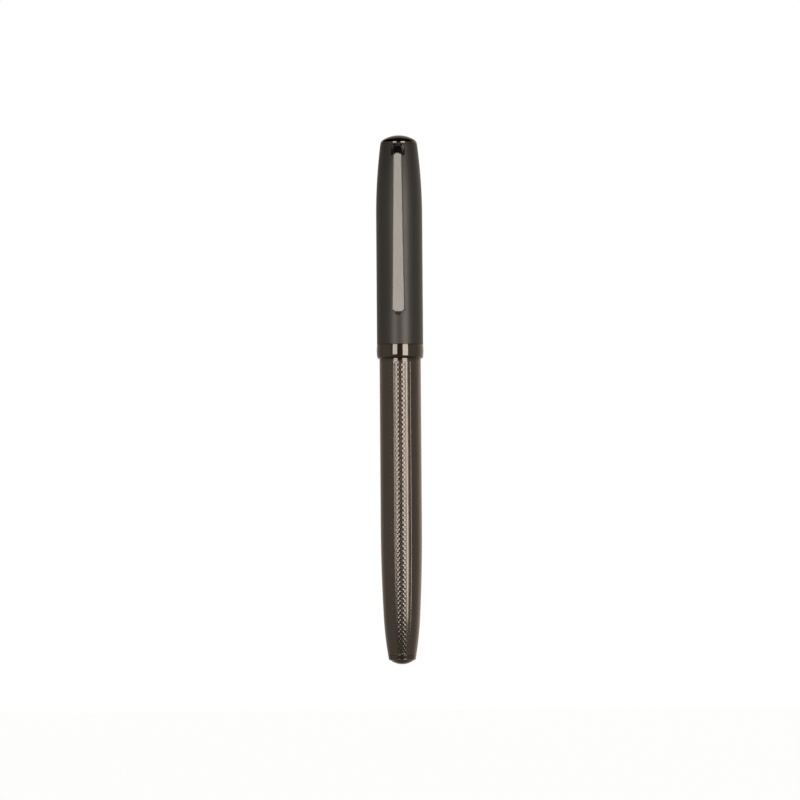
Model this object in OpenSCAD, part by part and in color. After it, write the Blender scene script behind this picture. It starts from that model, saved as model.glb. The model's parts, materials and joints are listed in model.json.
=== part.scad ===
// Capped rollerball pen.
// The pen's axis is Z, the crown points up and the clip faces -Y.
// z = 0 is the seat where the cap's mouth meets the barrel.

/* [Overall] */
// Length with the cap on, from tail to crown
pen_len = 138; // [137:0.5:144]
// Length of the cap, from its seat to the top of the crown
cap_len = 58.5; // [58.5:0.5:63]
// Diameter of the straight part of the barrel
barrel_d = 10.8; // [10.6:0.02:11]
// Largest diameter of the cap shell
cap_d = 12.04; // [11.9:0.02:12.4]

/* [Barrel] */
// Height above the tail where the straight part begins
taper_h = 36.3; // [32:0.1:40]
// Bend radius of the long taper
taper_bend = 450; // [420:5:500]
// Height above the tail where the taper tightens
tail_h = 12; // [11:0.1:13]
// Bend radius of the taper near the tail
tail_bend = 85.6; // [80:0.2:90]
// Height of the tail plug that shows
plug_h = 2.3; // [2:0.1:2.6]
// Radius of the tail's dome
tail_dome_r = 5; // [4.8:0.1:6]
// Height of the bush's flange, on which the cap seats
flange_h = 0.5; // [0.4:0.1:1]

/* [Section] */
// Height of the writing tip above the seat
tip_z = 44.1; // [44:0.1:45]
// How far the refill's point stands out of the nose cone
point_out = 2.7; // [2.2:0.1:3]
// Height of the nose cone
nose_len = 8.4; // [8:0.1:9]
// Diameter of the grip at its back end
grip_d = 9.8; // [9.7:0.02:9.8]
// Diameter of the grip where the nose cone begins
grip_front_d = 8.4; // [8.3:0.1:8.8]
// Pitch of the thread that holds the section
thread_pitch = 0.75; // [0.6:0.05:0.8]
// Number of threads
thread_turns = 12; // [8:1:12]

/* [Refill] */
// Length of the refill, tip included
refill_len = 110.5; // [110:0.1:111]
// Diameter of the refill's body
refill_d = 6.1; // [6:0.02:6.14]
// Diameter of the writing ball
ball_d = 0.7; // [0.5:0.1:0.7]
// Length of the spring behind the refill
refill_spring_len = 5.4; // [5:0.1:5.4]
// Turns of the spring behind the refill
refill_spring_turns = 6; // [5:1:7]

/* [Cap] */
// Distance below the crown's top where the cap starts to curve in
shoulder_drop = 21.2; // [20:0.1:22]
// Bend radius of the cap's shoulder
shoulder_bend = 146; // [140:1:160]
// Height of the crown, side wall included
crown_h = 2.34; // [2.2:0.02:2.4]
// Height of the crown's straight side wall
crown_wall_h = 0.36; // [0.3:0.02:0.5]
// Radius of the crown's dome
crown_dome_r = 7.9; // [7.6:0.1:9]
// Height of the polished band at the mouth
band_h = 3.7; // [3.4:0.02:5]
// Height at which the band's lower edge starts to round in
lip_h = 0.64; // [0.5:0.02:0.8]

/* [Clip] */
// Width of the clip where it leaves the cap
clip_w_top = 2.44; // [2.3:0.02:2.6]
// Width of the clip near its toe
clip_w_toe = 3.5; // [3:0.1:3.8]
// Distance of the clip's face from the axis, at its top
clip_face_top = 7.25; // [7.2:0.05:7.5]
// Distance of the clip's face from the axis, at its toe
clip_face_toe = 8; // [7.9:0.05:8.2]
// Height of the lower edge of the clip's face
clip_end_z = 12.2; // [12:0.1:16]
// Thickness of the clip
clip_t = 1; // [0.9:0.05:1]
// Width of the slot in the cap
slot_w = 3.56; // [3.3:0.02:3.8]
// Height of the slot in the cap
slot_h = 3.1; // [3:0.02:3.2]
// Turns of the clip's spring
clip_spring_turns = 6; // [5:1:7]

/* [Hidden] */

// Facets of round shapes
round_fn = 128;
// Steps of a curved outline
curve_steps = 24;
// Radial clearance of a running fit
running_gap = 0.05;
// Gap between faces of parts that move apart
face_gap = 0.02;

barrel_r = barrel_d / 2;
barrel_len = pen_len - cap_len;
cap_r = cap_d / 2;
refill_r = refill_d / 2;

// Barrel bores
barrel_bore_r = 4.6;
spring_bore_r = 3.55;
plug_bore_r = 2.95;
spring_bore_end = 22;
seat_t = 1.2;

// Threads of the section
thread_r = 3.95;
thread_depth = 0.35;
bush_bore_r = thread_r + running_gap;
bush_len = thread_turns * thread_pitch + 3.5;
thread_top = -1.2;
neck_r = 3.72;

// Section
core_r = 3.75;
core_bore_r = 3.2;
guide_bore_r = refill_r + 0.06;
guide_len = 4;
washer_top = 0.48;
section_z = 0.5;
collar_top = 1.9;
nose_tip_z = tip_z - point_out;
nose_base_z = nose_tip_z - nose_len;
nose_tip_r = 1.75;
nose_spigot_len = 3;
ring_z = 5.6;
ring_groove_h = 1.4;
ring_groove_r = 4.45;
ring_r = 5.02;

// Refill
refill_back = tip_z - refill_len;
refill_shoulder = nose_base_z - face_gap;
refill_bore_r = 2.6;
end_cap_h = 1;
nose_body_len = 8;
step_r = 1.95;
step_len = 4.4;
point_r = 1.2;
point_in = 2.5;
point_cone_len = 2.4;
point_rim_r = 0.42;
ball_r = ball_d / 2;
ball_gap = 0.01;
ball_z = tip_z - ball_r;
rim_z = ball_z + ball_r / 2;
wick_r = 0.6;

// Cap
crown_base = cap_len - crown_h;
shoulder_z = cap_len - shoulder_drop;
shell_bore_r = 5.38;
shell_foot_r = 5.62;
shell_foot_z = 0.9;
mouth_r = 5.05;
liner_cone_z = cap_len - 20.5;
liner_top = cap_len - 8.9;
liner_neck_z = liner_top - 2.6;
liner_neck_r = 4.9;
liner_end_t = 2.2;
liner_tip_r = 2.6;
block_r = 4.15;
block_top = crown_base - 0.18;
pocket_r = 2.1;
floor_t = 1.2;
screw_r = 0.8;
screw_head_r = 1.7;
screw_head_h = 1.2;
boss_r = 1.5;

// Clip hinge, which lies along X at this place in Y and Z
pin_r = 0.45;
pin_len = 3.9;
pivot_y = -3.2;
pivot_z = cap_len - 4.45;
knuckle_r = 0.95;
heel_t = 0.7;
eye_r = 1.9;
neck_top = cap_len - 2.8;
slot_top = cap_len - 2.6;
bend_r = 2.6;
toe_r = (clip_face_toe - cap_r - running_gap) / 2;

// Radius of the barrel at a height above its tail
function barrel_r_at(h) =
    h >= taper_h ? barrel_r :
    h >= tail_h ? barrel_r - pow(taper_h - h, 2) / (2 * taper_bend) :
    barrel_r_at(tail_h)
        - (taper_h - tail_h) / taper_bend * (tail_h - h)
        - pow(tail_h - h, 2) / (2 * tail_bend);

// Radius of the cap at a height above its seat
function cap_r_at(z) = z <= shoulder_z ? cap_r : cap_r - pow(z - shoulder_z, 2) / (2 * shoulder_bend);

// Points of a smooth bend from p0 to p2, which leaves and arrives in the direction of p1
function bend(p0, p1, p2, steps = 8) = [
    for (i = [0 : steps])
        let (t = i / steps)
        (1 - t) * (1 - t) * p0 + 2 * t * (1 - t) * p1 + t * t * p2
];

// Points of an arc round a centre, from angle a0 to angle a1
function arc(centre, r, a0, a1, steps = 12) = [
    for (i = [0 : steps])
        let (a = a0 + (a1 - a0) * i / steps)
        centre + r * [cos(a), sin(a)]
];

// Depth of a dome of radius dome_r at a distance r from its axis
function dome_drop(dome_r, r) = dome_r - sqrt(dome_r * dome_r - r * r);

// Solid of revolution of an outline of [radius, height] points
module lathe(points) {
    rotate_extrude($fn = round_fn)
        polygon(points);
}

// Plain ring from z0 to z1
module tube(r_out, r_in, z0, z1) {
    lathe([[r_in, z0], [r_out, z0], [r_out, z1], [r_in, z1]]);
}

// Height of a spring's wire after some turns: its first and last turns lie flat against the next
function spring_rise(turn, turns, wire_d, length) =
    let (pitch = (length - 3 * wire_d) / (turns - 2))
    turn < 1 ? turn * wire_d :
    turn > turns - 1 ? length - wire_d - (turns - turn) * wire_d :
    wire_d + (turn - 1) * pitch;

// Compression spring that stands on z0
module coil_spring(coil_r, wire_r, z0, length, turns, rings = 18, sides = 8) {
    count = turns * rings;
    points = [
        for (i = [0 : count])
            let (
                turn = i / rings,
                a = 360 * turn,
                z = z0 + wire_r + spring_rise(turn, turns, 2 * wire_r, length)
            )
            for (k = [0 : sides - 1])
                let (b = 360 * k / sides, r = coil_r + wire_r * cos(b))
                [r * cos(a), r * sin(a), z + wire_r * sin(b)]
    ];
    walls = [
        for (i = [0 : count - 1])
            for (k = [0 : sides - 1])
                let (a = i * sides + k, b = i * sides + (k + 1) % sides)
                for (face = [[a, b, b + sides], [a, b + sides, a + sides]])
                    face
    ];
    start = [for (k = [sides - 1 : -1 : 0]) k];
    end = [for (k = [0 : sides - 1]) count * sides + k];
    polyhedron(points, concat([start], walls, [end]), convexity = 10);
}

module barrel_tube() {
    base = -barrel_len;
    seat_z = refill_back - refill_spring_len - seat_t;
    outer = [
        for (i = [0 : curve_steps])
            let (h = plug_h + (taper_h - plug_h) * i / curve_steps)
            [barrel_r_at(h), base + h]
    ];
    bores = [
        [barrel_r, -flange_h],
        [barrel_bore_r, -flange_h],
        [barrel_bore_r, base + spring_bore_end],
        [spring_bore_r, base + spring_bore_end],
        [spring_bore_r, seat_z],
        [plug_bore_r, seat_z],
        [plug_bore_r, base + plug_h]
    ];
    color([0.32, 0.28, 0.25])
        lathe(concat(outer, bores));
}

module barrel_bush() {
    color([0.5, 0.45, 0.4])
        lathe([
            [bush_bore_r, -bush_len],
            [barrel_bore_r, -bush_len],
            [barrel_bore_r, -flange_h],
            [barrel_r, -flange_h],
            [barrel_r, 0],
            [bush_bore_r, 0]
        ]);
}

module tail_plug() {
    base = -barrel_len;
    dome_end = 2.9;
    rim_low = 1.26;
    rim_high = 1.42;
    rim_r = barrel_r_at(rim_high);
    spigot_top = base + 6.2;
    dome = [
        for (i = [0 : curve_steps])
            let (r = dome_end * i / curve_steps)
            [r, base + dome_drop(tail_dome_r, r)]
    ];
    corner = bend(
        [dome_end, base + dome_drop(tail_dome_r, dome_end)],
        [rim_r - 0.06, base + rim_low - 0.06],
        [rim_r, base + rim_low]
    );
    spigot = [
        [rim_r, base + rim_high],
        [barrel_r_at(plug_h), base + plug_h],
        [plug_bore_r, base + plug_h],
        [plug_bore_r, spigot_top],
        [0, spigot_top]
    ];
    color([0.55, 0.5, 0.46])
        lathe(concat(dome, corner, spigot));
}

module spring_seat() {
    top = refill_back - refill_spring_len;
    post_r = 1.6;
    post_h = 1.6;
    color([0.15, 0.15, 0.16])
        lathe([
            [0, top - seat_t],
            [spring_bore_r, top - seat_t],
            [spring_bore_r, top],
            [post_r, top],
            [post_r, top + post_h],
            [0, top + post_h]
        ]);
}

module refill_spring() {
    color([0.75, 0.76, 0.78])
        coil_spring(2.2, 0.25, refill_back - refill_spring_len, refill_spring_len, refill_spring_turns);
}

module section_washer() {
    color([0.08, 0.08, 0.08])
        tube(grip_d / 2, neck_r + running_gap, face_gap, washer_top);
}

module section_core() {
    start = thread_top - thread_turns * thread_pitch;
    root_r = thread_r - thread_depth;
    crest = thread_pitch / 8;
    ridges = [
        for (i = [0 : thread_turns - 1])
            let (z = start + i * thread_pitch)
            for (p = [
                [root_r, z],
                [thread_r, z + thread_pitch / 2 - crest],
                [thread_r, z + thread_pitch / 2 + crest]
            ])
                p
    ];
    core_top = nose_base_z - nose_spigot_len;
    guide_z = section_z + 10;
    body = [
        [root_r, thread_top],
        [neck_r, thread_top],
        [neck_r, section_z],
        [core_r, section_z],
        [core_r, core_top],
        [core_bore_r, core_top],
        [core_bore_r, guide_z + guide_len],
        [guide_bore_r, guide_z + guide_len],
        [guide_bore_r, guide_z],
        [core_bore_r, guide_z],
        [core_bore_r, start]
    ];
    color([0.6, 0.5, 0.3])
        lathe(concat(ridges, body));
}

module section_collar() {
    color([0.55, 0.5, 0.46])
        tube(grip_d / 2 + 0.05, core_r, section_z, collar_top);
}

module section_grip() {
    back_r = grip_d / 2;
    front_r = grip_front_d / 2;
    mid = [(back_r + front_r) / 2 - 0.1, (collar_top + nose_base_z) / 2 + 4];
    groove_top = ring_z + ring_groove_h;
    taper_z = 12;
    side = bend([back_r, taper_z], mid, [front_r, nose_base_z], curve_steps);
    color([0.06, 0.06, 0.065])
        lathe(concat(
            [
                [core_r, collar_top],
                [back_r, collar_top],
                [back_r, ring_z],
                [ring_groove_r, ring_z],
                [ring_groove_r, groove_top],
                [back_r, groove_top]
            ],
            side,
            [[core_r, nose_base_z]]
        ));
}

module nose_cone() {
    spigot_z = nose_base_z - nose_spigot_len;
    hole_z = nose_base_z + step_len + 0.15;
    side = bend(
        [grip_front_d / 2, nose_base_z],
        [grip_front_d / 2 - 0.75, nose_base_z + nose_len * 0.6],
        [nose_tip_r, nose_tip_z - 0.2]
    );
    color([0.6, 0.55, 0.5])
        lathe(concat(
            [
                [core_bore_r, spigot_z],
                [core_r, spigot_z],
                [core_r, nose_base_z]
            ],
            side,
            [
                [nose_tip_r - 0.2, nose_tip_z],
                [point_r + 0.06, nose_tip_z],
                [point_r + 0.06, hole_z],
                [step_r + 0.1, hole_z],
                [step_r + 0.1, nose_base_z],
                [core_bore_r, nose_base_z]
            ]
        ));
}

// Split ring, free to turn in its groove
module snap_ring() {
    low = ring_z + running_gap;
    high = ring_z + ring_groove_h - running_gap;
    inner_r = ring_groove_r + running_gap;
    edge = 0.3;
    split = 1.2;
    color([0.8, 0.8, 0.82])
        difference() {
            lathe([
                [inner_r, low],
                [ring_r - 0.15, low],
                [ring_r, low + edge],
                [ring_r, high - edge],
                [ring_r - 0.15, high],
                [inner_r, high]
            ]);
            translate([-split / 2, 0, low - 1])
                cube([split, ring_r + 1, high - low + 2]);
        }
}

module refill_tube() {
    color([0.72, 0.72, 0.7])
        tube(refill_r, refill_bore_r, refill_back + end_cap_h, refill_shoulder - nose_body_len);
}

module refill_end_plug() {
    color([0.1, 0.1, 0.1])
        lathe([
            [0, refill_back],
            [refill_r - 0.2, refill_back],
            [refill_r, refill_back + 0.2],
            [refill_r, refill_back + end_cap_h],
            [refill_bore_r, refill_back + end_cap_h],
            [refill_bore_r, refill_back + end_cap_h + 2],
            [0, refill_back + end_cap_h + 2]
        ]);
}

module refill_nose() {
    body_z = refill_shoulder - nose_body_len;
    step_top = refill_shoulder + step_len;
    color([0.12, 0.12, 0.12])
        lathe([
            [wick_r, body_z - 3],
            [refill_bore_r, body_z - 3],
            [refill_bore_r, body_z],
            [refill_r, body_z],
            [refill_r, refill_shoulder],
            [step_r, refill_shoulder],
            [step_r, step_top - 0.2],
            [step_r - 0.2, step_top],
            [point_r, step_top],
            [point_r, step_top - point_in],
            [wick_r, step_top - point_in]
        ]);
}

module ink_filler() {
    low = refill_back + end_cap_h + 2.5;
    high = refill_shoulder - nose_body_len - 4;
    wick_in = 6;
    color([0.1, 0.12, 0.2])
        lathe([
            [0, low],
            [refill_bore_r, low],
            [refill_bore_r, high],
            [wick_r, high],
            [wick_r, high - wick_in],
            [0, high - wick_in]
        ]);
}

module feed_wick() {
    low = refill_shoulder - nose_body_len - 10;
    high = tip_z - point_cone_len + 0.6;
    color([0.85, 0.85, 0.8])
        translate([0, 0, low])
            cylinder(r = wick_r, h = high - low, $fn = 48);
}

module point_tube() {
    low = refill_shoulder + step_len - point_in;
    cone_z = tip_z - point_cone_len;
    wick_top = cone_z + 0.6;
    socket_r = ball_r + ball_gap;
    duct_r = 0.15;
    color([0.78, 0.78, 0.76])
        difference() {
            lathe([
                [0, low],
                [point_r, low],
                [point_r, cone_z],
                [point_rim_r, rim_z],
                [0, rim_z]
            ]);
            translate([0, 0, low - 1])
                cylinder(r = wick_r, h = wick_top - low + 1, $fn = 48);
            translate([0, 0, wick_top - 0.1])
                cylinder(r = duct_r, h = ball_z - wick_top, $fn = 32);
            translate([0, 0, ball_z])
                sphere(r = socket_r, $fn = 48);
        }
}

module writing_ball() {
    color([0.5, 0.5, 0.52])
        translate([0, 0, ball_z])
            sphere(r = ball_r, $fn = 48);
}

module cap_shell() {
    shoulder = [
        for (i = [0 : curve_steps])
            let (z = shoulder_z + (crown_base - shoulder_z) * i / curve_steps)
            [cap_r_at(z), z]
    ];
    color([0.23, 0.21, 0.19])
        difference() {
            lathe(concat(
                [
                    [shell_bore_r, shell_foot_z],
                    [shell_foot_r, shell_foot_z],
                    [shell_foot_r, band_h],
                    [cap_r, band_h]
                ],
                shoulder,
                [
                    [block_r, crown_base],
                    [block_r, liner_top],
                    [liner_neck_r, liner_top],
                    [liner_neck_r, liner_neck_z],
                    [shell_bore_r, liner_cone_z]
                ]
            ));
            translate([-slot_w / 2, -cap_r, slot_top - slot_h])
                cube([slot_w, cap_r, slot_h]);
        }
}

module cap_band() {
    swell = 0.09;
    lip = bend([cap_r - 0.6, face_gap], [cap_r - 0.06, 0.06], [cap_r, lip_h], 10);
    bulge = [
        for (i = [1 : 16])
            let (t = i / 16)
            [cap_r + swell * 4 * t * (1 - t), lip_h + (band_h - lip_h) * t]
    ];
    color([0.75, 0.7, 0.66])
        lathe(concat(
            [[mouth_r, face_gap]],
            lip,
            bulge,
            [
                [shell_foot_r, band_h],
                [shell_foot_r, shell_foot_z],
                [mouth_r, shell_foot_z]
            ]
        ));
}

module cap_crown() {
    dome_end = 3.9;
    dome_end_z = cap_len - dome_drop(crown_dome_r, dome_end);
    wall_r = cap_r_at(crown_base + 0.2);
    wall_top = crown_base + crown_wall_h;
    dome = [
        for (i = [0 : curve_steps])
            let (r = dome_end * i / curve_steps)
            [r, cap_len - dome_drop(crown_dome_r, r)]
    ];
    corner = bend(
        [dome_end, dome_end_z],
        [wall_r - 0.34, dome_end_z - 0.27],
        [wall_r, wall_top]
    );
    boss_z = crown_base - 0.4;
    hole_top = cap_len - 0.9;
    color([0.55, 0.51, 0.48])
        lathe(concat(
            dome,
            corner,
            [
                [wall_r, crown_base],
                [block_r, crown_base],
                [block_r, block_top],
                [boss_r, block_top],
                [boss_r, boss_z],
                [screw_r, boss_z],
                [screw_r, hole_top],
                [0, hole_top]
            ]
        ));
}

module cap_liner() {
    inner_top = liner_top - liner_end_t;
    color([0.12, 0.12, 0.12])
        lathe([
            [mouth_r, shell_foot_z],
            [shell_bore_r, shell_foot_z],
            [shell_bore_r, liner_cone_z],
            [liner_neck_r, liner_neck_z],
            [liner_neck_r, liner_top],
            [screw_r, liner_top],
            [screw_r, inner_top],
            [liner_tip_r, inner_top],
            [liner_tip_r, nose_tip_z + 1],
            [mouth_r, nose_base_z + 2]
        ]);
}

module clip_block() {
    pocket_z = liner_top + floor_t;
    slot_half = clip_w_top / 2 + running_gap;
    slot_z = pivot_z - knuckle_r - 0.4;
    color([0.3, 0.3, 0.32])
        difference() {
            lathe([
                [screw_r, liner_top],
                [block_r, liner_top],
                [block_r, block_top],
                [pocket_r, block_top],
                [pocket_r, pocket_z],
                [screw_r, pocket_z]
            ]);
            translate([-slot_half, -block_r - 1, slot_z])
                cube([2 * slot_half, block_r + 1, block_top - slot_z + 1]);
            translate([-pin_len / 2, pivot_y, pivot_z])
                rotate([0, 90, 0])
                    cylinder(r = pin_r, h = pin_len, $fn = 48);
        }
}

module clip_pin() {
    color([0.78, 0.78, 0.8])
        translate([-pin_len / 2, pivot_y, pivot_z])
            rotate([0, 90, 0])
                cylinder(r = pin_r, h = pin_len, $fn = 48);
}

module clip_spring() {
    low = liner_top + floor_t;
    high = pivot_z + 0.05;
    color([0.75, 0.76, 0.78])
        coil_spring(1.45, 0.2, low, high - low, clip_spring_turns);
}

// Slotted screw that comes up through liner and block into the crown
module crown_screw() {
    head_top = liner_top - liner_end_t;
    tip = cap_len - 1;
    driver_w = 0.5;
    driver_depth = 0.6;
    color([0.72, 0.72, 0.74])
        difference() {
            lathe([
                [0, head_top - screw_head_h],
                [screw_head_r - 0.2, head_top - screw_head_h],
                [screw_head_r, head_top - screw_head_h + 0.2],
                [screw_head_r, head_top],
                [screw_r, head_top],
                [screw_r, tip],
                [0, tip]
            ]);
            translate([-driver_w / 2, -screw_head_r - 1, head_top - screw_head_h - 1])
                cube([driver_w, 2 * screw_head_r + 2, driver_depth + 1]);
        }
}

// Side view of the clip as [y, z] points: heel, bend, arm and toe
function clip_side() =
    let (
        centre = [bend_r - clip_face_top, neck_top - bend_r],
        toe = [toe_r - clip_face_toe, clip_end_z - 0.05],
        heel_low = pivot_z + 0.05,
        heel_top = heel_low + heel_t
    )
    concat(
        [[0, heel_top], [pivot_y + 1, heel_top], [pivot_y, neck_top]],
        arc(centre, bend_r, 90, 180, 16),
        arc(toe, toe_r, 180, 440, 24),
        [[clip_t - clip_face_toe, clip_end_z + 2.4]],
        arc(centre, bend_r - clip_t, 180, 90, 16),
        [[pivot_y, pivot_z], [pivot_y + 1, heel_low], [0, heel_low]]
    );

// Front view of one side of the clip as [x, z] points, from the toe up
function clip_front() =
    let (top = clip_w_top / 2, low = clip_w_toe / 2)
    concat(
        [[0.7, clip_end_z - 1.5], [low - 0.65, clip_end_z - 0.1]],
        bend([low - 0.5, clip_end_z], [low, clip_end_z], [low, clip_end_z + 0.5]),
        [[top, neck_top - bend_r], [top, cap_len]]
    );

module clip() {
    half = clip_front();
    outline = concat(half, [for (i = [len(half) - 1 : -1 : 0]) [-half[i][0], half[i][1]]]);
    heel_low = pivot_z + 0.05;
    color([0.7, 0.66, 0.62])
        difference() {
            union() {
                intersection() {
                    rotate([90, 0, 90])
                        linear_extrude(height = clip_w_toe + 1, center = true)
                            polygon(clip_side());
                    rotate([90, 0, 0])
                        linear_extrude(height = 4 * cap_r, center = true)
                            polygon(outline);
                }
                translate([-clip_w_top / 2, pivot_y, pivot_z])
                    rotate([0, 90, 0])
                        cylinder(r = knuckle_r, h = clip_w_top, $fn = 64);
                translate([0, 0, heel_low])
                    cylinder(r = eye_r, h = heel_t, $fn = 64);
            }
            translate([-clip_w_top, pivot_y, pivot_z])
                rotate([0, 90, 0])
                    cylinder(r = pin_r + running_gap / 2, h = 2 * clip_w_top, $fn = 64);
            translate([0, 0, heel_low - 1])
                cylinder(r = screw_r + 0.25, h = heel_t + 2, $fn = 64);
        }
}

barrel_tube();
barrel_bush();
tail_plug();
spring_seat();
refill_spring();
section_washer();
section_core();
section_collar();
section_grip();
nose_cone();
snap_ring();
refill_tube();
refill_end_plug();
refill_nose();
ink_filler();
feed_wick();
point_tube();
writing_ball();
cap_shell();
cap_band();
cap_crown();
cap_liner();
clip_block();
clip_pin();
clip_spring();
crown_screw();
clip();
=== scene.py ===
"""Looks of the rollerball pen: engraved and polished gunmetal, satin cap, brushed clip."""

import json
import math

import bmesh
import bpy
from mathutils import Matrix, Vector


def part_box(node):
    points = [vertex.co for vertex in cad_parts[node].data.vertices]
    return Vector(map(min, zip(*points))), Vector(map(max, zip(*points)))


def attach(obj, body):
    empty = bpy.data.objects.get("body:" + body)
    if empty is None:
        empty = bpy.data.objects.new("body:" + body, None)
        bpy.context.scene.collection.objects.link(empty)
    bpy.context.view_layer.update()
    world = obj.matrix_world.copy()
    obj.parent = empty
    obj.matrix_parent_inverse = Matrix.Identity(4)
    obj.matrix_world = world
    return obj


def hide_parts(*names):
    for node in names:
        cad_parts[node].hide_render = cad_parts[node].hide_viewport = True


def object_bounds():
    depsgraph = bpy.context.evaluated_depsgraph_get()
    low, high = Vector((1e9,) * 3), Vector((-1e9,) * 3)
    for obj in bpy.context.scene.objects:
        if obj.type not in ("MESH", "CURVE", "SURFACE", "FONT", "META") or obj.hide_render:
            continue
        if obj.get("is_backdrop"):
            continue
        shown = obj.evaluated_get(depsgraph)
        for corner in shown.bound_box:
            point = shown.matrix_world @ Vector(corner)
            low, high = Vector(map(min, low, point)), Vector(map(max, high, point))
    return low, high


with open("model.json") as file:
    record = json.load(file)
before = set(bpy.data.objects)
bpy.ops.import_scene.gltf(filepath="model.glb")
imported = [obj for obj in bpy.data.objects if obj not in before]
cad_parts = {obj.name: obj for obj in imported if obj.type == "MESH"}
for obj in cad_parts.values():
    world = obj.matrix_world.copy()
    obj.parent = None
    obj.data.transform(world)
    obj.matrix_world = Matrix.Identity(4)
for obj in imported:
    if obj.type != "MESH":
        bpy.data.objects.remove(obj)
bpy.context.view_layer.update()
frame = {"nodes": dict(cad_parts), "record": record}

mm = 0.001
NODES = frame["nodes"]

# ---------------------------------------------------------------- driving sizes, from the frame

TUBE_LOW, TUBE_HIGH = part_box("barrel_tube")
TAIL_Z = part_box("tail_plug")[0].z
CROWN_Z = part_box("cap_crown")[1].z
BAND_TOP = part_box("cap_band")[1].z
SHELL_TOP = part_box("cap_shell")[1].z
BARREL_R = TUBE_HIGH.x
CAP_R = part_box("cap_shell")[1].x
GRIP_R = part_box("section_grip")[1].x
GRIP_LOW, GRIP_HIGH = (corner.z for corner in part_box("section_grip"))
NOSE_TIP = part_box("nose_cone")[1].z
RING_LOW, RING_HIGH = (corner.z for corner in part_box("snap_ring"))

# Taper of the barrel: heights above the tail where it starts and tightens, and its bend radii
TAPER_H, TAIL_H = 36.3 * mm, 12 * mm
TAPER_BEND, TAIL_BEND = 450 * mm, 85.6 * mm
# Shoulder of the cap: drop below the crown where it starts, and its bend radius
SHOULDER_DROP, SHOULDER_BEND = 21.2 * mm, 146 * mm
# The clip bends into the cap over this radius
CLIP_BEND = 2.6 * mm
CLIP_BEND_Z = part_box("clip")[1].z - CLIP_BEND
CLIP_TOP_HALF = 1.22 * mm
# How much lower the bend starts at its sides than in the middle, so that the face ends in an arch
CLIP_ARCH = 0.85 * mm
CLIP_ARCH_REACH = 4 * mm


def barrel_radius(z):
    """Radius of the barrel's outside at a height."""
    h = z - TAIL_Z
    drop = max(0.0, TAPER_H - max(h, TAIL_H)) ** 2 / (2 * TAPER_BEND)
    below = max(0.0, TAIL_H - h)
    slope = (TAPER_H - TAIL_H) / TAPER_BEND
    return BARREL_R - drop - slope * below - below ** 2 / (2 * TAIL_BEND)


def cap_radius(z):
    """Radius of the cap's outside at a height."""
    over = z - (CROWN_Z - SHOULDER_DROP)
    return CAP_R - max(0.0, over) ** 2 / (2 * SHOULDER_BEND)


# ---------------------------------------------------------------- mesh helpers

def span(start, end, steps):
    """Evenly spaced values from start to end, both included."""
    return [start + (end - start) * i / steps for i in range(steps + 1)]


def bend(p0, p1, p2, steps=12):
    """Points of a smooth bend from p0 to p2 that leaves and arrives in the direction of p1."""
    return [
        tuple((1 - t) ** 2 * a + 2 * t * (1 - t) * b + t * t * c for a, b, c in zip(p0, p1, p2))
        for t in span(0, 1, steps)
    ]


def arc(centre, radius, start_deg, end_deg, steps=16):
    """Points of an arc round a centre."""
    return [
        (centre[0] + radius * math.cos(math.radians(a)), centre[1] + radius * math.sin(math.radians(a)))
        for a in span(start_deg, end_deg, steps)
    ]


def dome_drop(dome_radius, r):
    """How far a dome lies below its top at a distance r from its axis."""
    return dome_radius - math.sqrt(dome_radius ** 2 - r ** 2)


def shade(mesh, sharp_deg):
    """Smooth shading, with a crease where faces meet at more than this angle."""
    mesh.polygons.foreach_set("use_smooth", [True] * len(mesh.polygons))
    mesh.set_sharp_from_angle(angle=math.radians(sharp_deg))


def new_object(name, vertices, faces, material, sharp_deg=30):
    """Adds a mesh to the scene and gives it its material."""
    mesh = bpy.data.meshes.new(name)
    mesh.from_pydata([tuple(v) for v in vertices], [], [tuple(f) for f in faces])
    mesh.validate()
    mesh.update()
    work = bmesh.new()
    work.from_mesh(mesh)
    bmesh.ops.recalc_face_normals(work, faces=work.faces)
    work.to_mesh(mesh)
    work.free()
    shade(mesh, sharp_deg)
    mesh.materials.append(material)
    made = bpy.data.objects.new(name, mesh)
    bpy.context.scene.collection.objects.link(made)
    return made


def lathe(name, outline, material, segments=192, sharp_deg=24, turns=1.0, start_deg=0.0):
    """Solid of revolution of an outline of (radius, height) points; part of a turn gets end faces."""
    whole = turns >= 1.0
    columns = segments if whole else segments + 1
    vertices, rows = [], []
    for r, z in outline:
        if r < 1e-7:
            rows.append([len(vertices)] * columns)
            vertices.append((0.0, 0.0, z))
            continue
        rows.append([len(vertices) + i for i in range(columns)])
        for i in range(columns):
            a = math.radians(start_deg) + 2 * math.pi * turns * i / segments
            vertices.append((r * math.cos(a), r * math.sin(a), z))
    faces = []
    for j, row in enumerate(rows):
        above = rows[(j + 1) % len(rows)]
        for i in range(segments):
            k = (i + 1) % columns
            corners = list(dict.fromkeys([row[i], row[k], above[k], above[i]]))
            if len(corners) > 2:
                faces.append(corners)
    if not whole:
        faces.append([row[0] for row in rows])
        faces.append([row[-1] for row in rows][::-1])
    return new_object(name, vertices, faces, material, sharp_deg)


def finish_piece(piece, body, slot, *nodes):
    """Makes a piece ride on its body and hides the CAD nodes that it stands for; its slot is not used."""
    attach(piece, body)
    if nodes:
        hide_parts(*nodes)
    return piece


# ---------------------------------------------------------------- material helpers

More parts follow.
